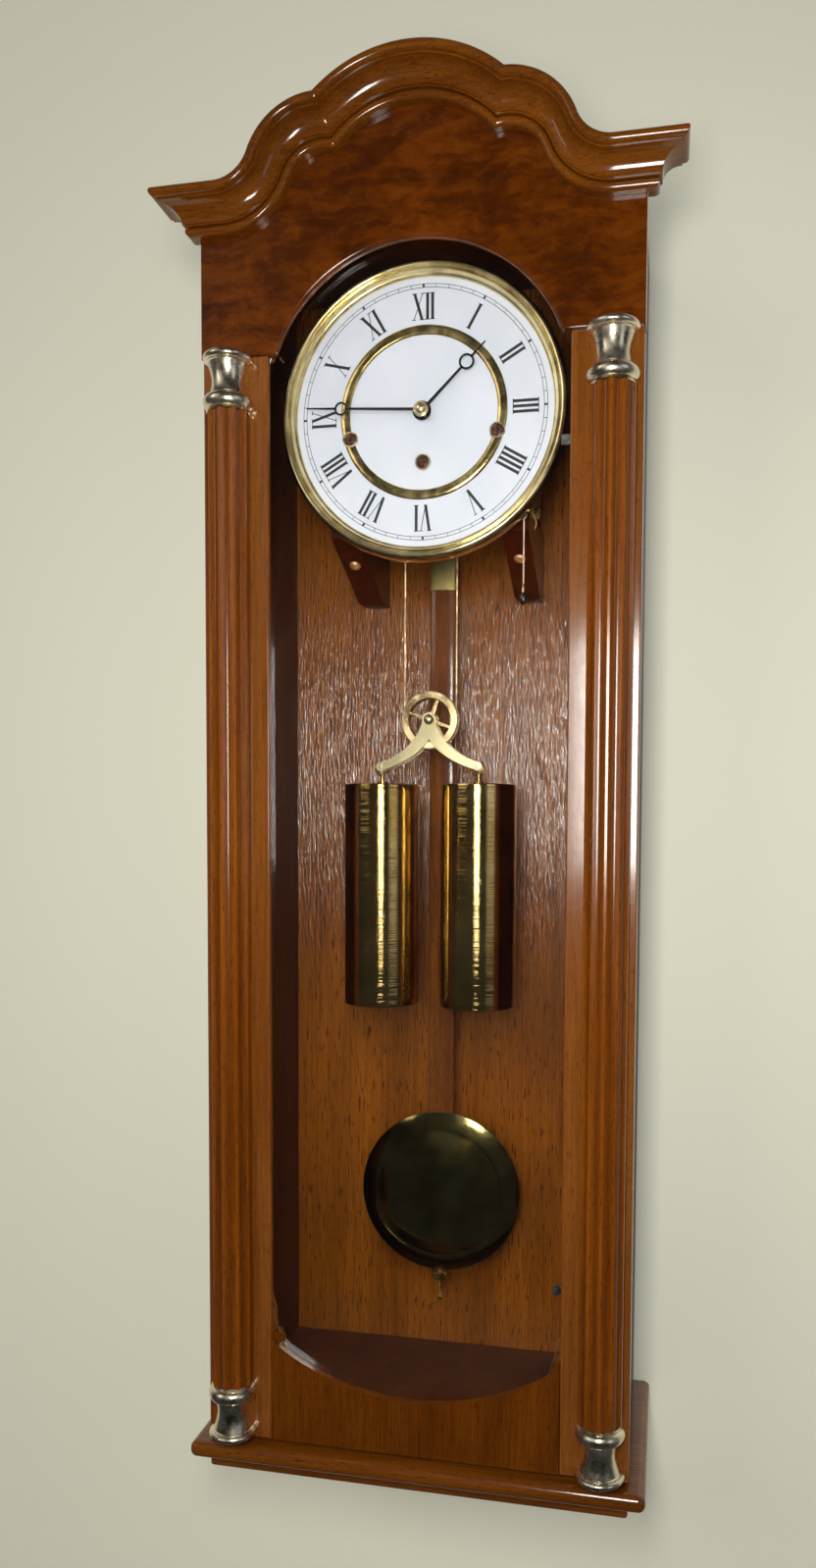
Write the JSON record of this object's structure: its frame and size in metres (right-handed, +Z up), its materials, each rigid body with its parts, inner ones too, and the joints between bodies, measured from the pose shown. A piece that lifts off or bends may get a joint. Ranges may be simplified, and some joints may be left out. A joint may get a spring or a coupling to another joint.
{
  "type": "regulator wall clock",
  "caption": "Weight-driven regulator wall clock: arched glazed door between fluted columns, bonnet crown, round dial, weights on a pulley and a lens-bob pendulum.",
  "frame": {"origin": "the hanging point on the wall plane, behind the hanger plate at the top of the case's back", "axes": "+Y into the wall, +Z up, +X to the right seen from the front; the dial faces -Y"},
  "size_m": [0.3792, 0.1791, 1.0338],
  "materials": {
    "crown_wood": "gloss",
    "burl_wood": "gloss",
    "stile_wood": "gloss",
    "column_wood": "gloss",
    "inner_wood": "satin",
    "back_wood": "satin",
    "brass": "polished",
    "pale_brass": "polished",
    "steel": "satin",
    "copper": "satin",
    "white_enamel": "satin",
    "black": "gloss",
    "glass": "polished",
    "cord": "matte"
  },
  "bodies": {
    "case": {"back_panel": "back_wood", "case_side_left": "crown_wood", "case_side_right": "crown_wood", "top_board": "inner_wood", "floor_board": "inner_wood", "base_plinth": "crown_wood", "base_step": "crown_wood", "hanger_plate": "steel", "hinge_upper_case_leaf": "brass", "hinge_lower_case_leaf": "brass", "bracket_left": "inner_wood", "bracket_right": "inner_wood", "bracket_screw_left": "copper", "bracket_screw_right": "copper", "movement_back_plate": "brass", "movement_front_plate": "brass", "dial_plate": "white_enamel", "dial_bezel": "brass", "dial_ring": "brass", "cable": "steel"},
    "door": {"door_head": "burl_wood", "door_stile_left": "stile_wood", "door_stile_right": "stile_wood", "door_apron": "stile_wood", "crown_moulding": "crown_wood", "crown_return_left": "crown_wood", "crown_return_right": "crown_wood", "glass_pane": "glass", "glass_clip_upper": "steel", "glass_clip_lower": "steel", "column_left": "column_wood", "column_right": "column_wood", "capital_left": "pale_brass", "capital_right": "pale_brass", "column_base_left": "pale_brass", "column_base_right": "pale_brass", "hinge_upper_door_leaf": "brass", "hinge_lower_door_leaf": "brass"},
    "minute": {"minute_hand": "black", "hand_nut": "brass"},
    "hour": {"hour_hand": "black"},
    "drum": {"winding_drum": "brass"},
    "strike_barrel": {"strike_arbor": "brass"},
    "chime_barrel": {"chime_arbor": "brass"},
    "escape": {"escape_wheel": "brass"},
    "anchor": {"anchor": "steel"},
    "carrier": {"yoke": "brass"},
    "pulley": {"pulley": "brass"},
    "left_weight": {"weight_left": "brass"},
    "right_weight": {"weight_right": "brass"},
    "pendulum": {"pendulum_top": "brass", "pendulum_rod": "column_wood", "pendulum_bob": "brass", "rating_screw": "brass"},
    "rating_nut": {"rating_nut": "brass"},
    "lever": {"repeat_lever": "pale_brass"},
    "pull": {"pull_cord": "cord", "cord_ball": "black"}
  },
  "joints": [
    {"name": "door_hinge", "type": "hinge", "parent": "case", "child": "door", "pos_m": [-0.1652, -0.13385, -0.485], "axis": [0, 0, -1], "range_deg": [0, 110]},
    {"name": "minute_spin", "type": "hinge", "parent": "case", "child": "minute", "pos_m": [0, -0.13, -0.112], "axis": [0, 1, 0], "continuous": true},
    {"name": "hour_spin", "type": "hinge", "parent": "case", "child": "hour", "pos_m": [0, -0.127, -0.112], "axis": [0, 1, 0], "continuous": true},
    {"name": "drum_spin", "type": "hinge", "parent": "case", "child": "drum", "pos_m": [0, -0.09, -0.148], "axis": [0, 1, 0], "range_deg": [-1520, 620]},
    {"name": "strike_spin", "type": "hinge", "parent": "case", "child": "strike_barrel", "pos_m": [-0.0558, -0.09, -0.1285], "axis": [0, 1, 0], "continuous": true},
    {"name": "chime_spin", "type": "hinge", "parent": "case", "child": "chime_barrel", "pos_m": [0.0558, -0.09, -0.1285], "axis": [0, 1, 0], "continuous": true},
    {"name": "escape_spin", "type": "hinge", "parent": "case", "child": "escape", "pos_m": [0, -0.07, -0.107], "axis": [0, 1, 0], "continuous": true},
    {"name": "pendulum_swing", "type": "hinge", "parent": "case", "child": "pendulum", "pos_m": [0, -0.05, -0.084], "axis": [0, 1, 0], "range_deg": [-3, 3]},
    {"name": "anchor_rock", "type": "hinge", "parent": "case", "child": "anchor", "pos_m": [0, -0.065, -0.084], "axis": [0, 1, 0], "range_deg": [-3, 3]},
    {"name": "rating_nut_turn", "type": "hinge", "parent": "pendulum", "child": "rating_nut", "pos_m": [0, -0.05, -0.794], "axis": [0, 0, 1], "continuous": true},
    {"name": "weight_drop", "type": "slide", "parent": "case", "child": "carrier", "axis": [0, 0, -1], "range_m": [-0.11, 0.27], "deforming": ["cable"]},
    {"name": "pulley_spin", "type": "hinge", "parent": "carrier", "child": "pulley", "pos_m": [0, -0.095, -0.335], "axis": [0, 1, 0], "range_deg": [-760, 312]},
    {"name": "left_weight_swing", "type": "hinge", "parent": "carrier", "child": "left_weight", "pos_m": [-0.0385, -0.095, -0.371], "axis": [0, 1, 0], "range_deg": [-2.5, 2.5]},
    {"name": "right_weight_swing", "type": "hinge", "parent": "carrier", "child": "right_weight", "pos_m": [0.0385, -0.095, -0.371], "axis": [0, 1, 0], "range_deg": [-2.5, 2.5]},
    {"name": "lever_turn", "type": "hinge", "parent": "case", "child": "lever", "pos_m": [0.04, -0.113, -0.17], "axis": [0, 1, 0], "range_deg": [0, 12], "stiffness_Nm_per_rad": 0.05, "springref_deg": -5.73},
    {"name": "cord_hang", "type": "hinge", "parent": "lever", "child": "pull", "pos_m": [0.0745, -0.113, -0.191], "axis": [0, 1, 0], "range_deg": [-12, 0]}
  ],
  "couplings": [
    {"joint": "hour_spin", "follows": "minute_spin", "ratio": 0.083333},
    {"joint": "anchor_rock", "follows": "pendulum_swing", "ratio": 1},
    {"joint": "pulley_spin", "follows": "weight_drop", "rad_per_m": -48.78},
    {"joint": "drum_spin", "follows": "weight_drop", "rad_per_m": -97.56},
    {"joint": "cord_hang", "follows": "lever_turn", "ratio": -1}
  ]
}
